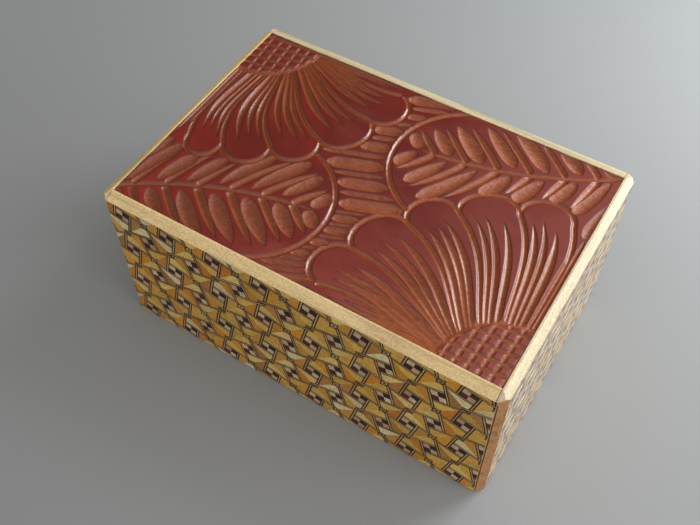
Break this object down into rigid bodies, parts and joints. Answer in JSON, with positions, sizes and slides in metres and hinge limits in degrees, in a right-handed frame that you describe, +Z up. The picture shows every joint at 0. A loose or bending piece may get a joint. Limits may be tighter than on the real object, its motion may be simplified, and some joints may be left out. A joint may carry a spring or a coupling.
{
  "type": "puzzle box",
  "caption": "Rectangular wooden puzzle box with marquetry sides, a carved lacquered sliding top, sliding end panels, a sliding bottom board and hidden key bars.",
  "frame": {"origin": "centre of the underside, on the table", "axes": "+X along the box, the way the carved top slides open; +Y across it towards the back long side; +Z up"},
  "size_m": [0.152, 0.103, 0.0675],
  "materials": {
    "border_wood": "satin",
    "core_wood": "satin",
    "marquetry": "satin",
    "lacquered_wood": "semi-gloss lacquer",
    "inner_wood": "matte",
    "key_wood": "matte"
  },
  "bodies": {
    "box": {"front_wall": "core_wood", "back_wall": "core_wood", "front_marquetry": "marquetry", "back_marquetry": "marquetry", "front_rim": "border_wood", "back_rim": "border_wood", "inner_front_wall": "inner_wood", "inner_back_wall": "inner_wood", "inner_left_wall": "inner_wood", "inner_right_wall": "inner_wood", "inner_floor": "inner_wood", "right_lower_stop": "inner_wood", "right_upper_stop": "inner_wood", "right_lower_key_rail": "inner_wood", "right_upper_key_rail": "inner_wood", "right_key_stop": "inner_wood", "left_lower_stop": "inner_wood", "left_upper_stop": "inner_wood", "left_lower_key_rail": "inner_wood", "left_upper_key_rail": "inner_wood", "left_key_stop": "inner_wood", "bottom_stop_block": "key_wood"},
    "top": {"carved_top_panel": "lacquered_wood", "right_top_batten": "core_wood", "right_top_batten_marquetry": "marquetry", "right_top_rim": "border_wood", "top_stop_cleat": "inner_wood"},
    "bottom": {"bottom_board": "inner_wood", "left_bottom_batten": "core_wood", "left_bottom_batten_marquetry": "marquetry"},
    "right_end": {"right_end_panel": "core_wood", "right_end_marquetry": "marquetry", "right_guide_strip_front": "inner_wood", "right_guide_strip_back": "inner_wood", "right_cross_bar": "inner_wood"},
    "left_end": {"left_end_panel": "core_wood", "left_end_marquetry": "marquetry", "left_end_rim": "border_wood", "left_guide_strip_front": "inner_wood", "left_guide_strip_back": "inner_wood", "left_cross_bar": "inner_wood"},
    "right_key": {"right_key_bar": "key_wood"},
    "left_key": {"left_key_bar": "key_wood"}
  },
  "joints": [
    {"name": "top_slide", "type": "slide", "parent": "box", "child": "top", "axis": [1, 0, 0], "range_m": [0, 0.128]},
    {"name": "bottom_slide", "type": "slide", "parent": "box", "child": "bottom", "axis": [1, 0, 0], "range_m": [-0.005, 0]},
    {"name": "right_end_slide", "type": "slide", "parent": "box", "child": "right_end", "axis": [0, 0, 1], "range_m": [-0.005, 0]},
    {"name": "left_end_slide", "type": "slide", "parent": "box", "child": "left_end", "axis": [0, 0, -1], "range_m": [-0.005, 0]},
    {"name": "right_key_slide", "type": "slide", "parent": "box", "child": "right_key", "axis": [0, 1, 0], "range_m": [0, 0.0035]},
    {"name": "left_key_slide", "type": "slide", "parent": "box", "child": "left_key", "axis": [0, 1, 0], "range_m": [0, 0.0035]}
  ]
}
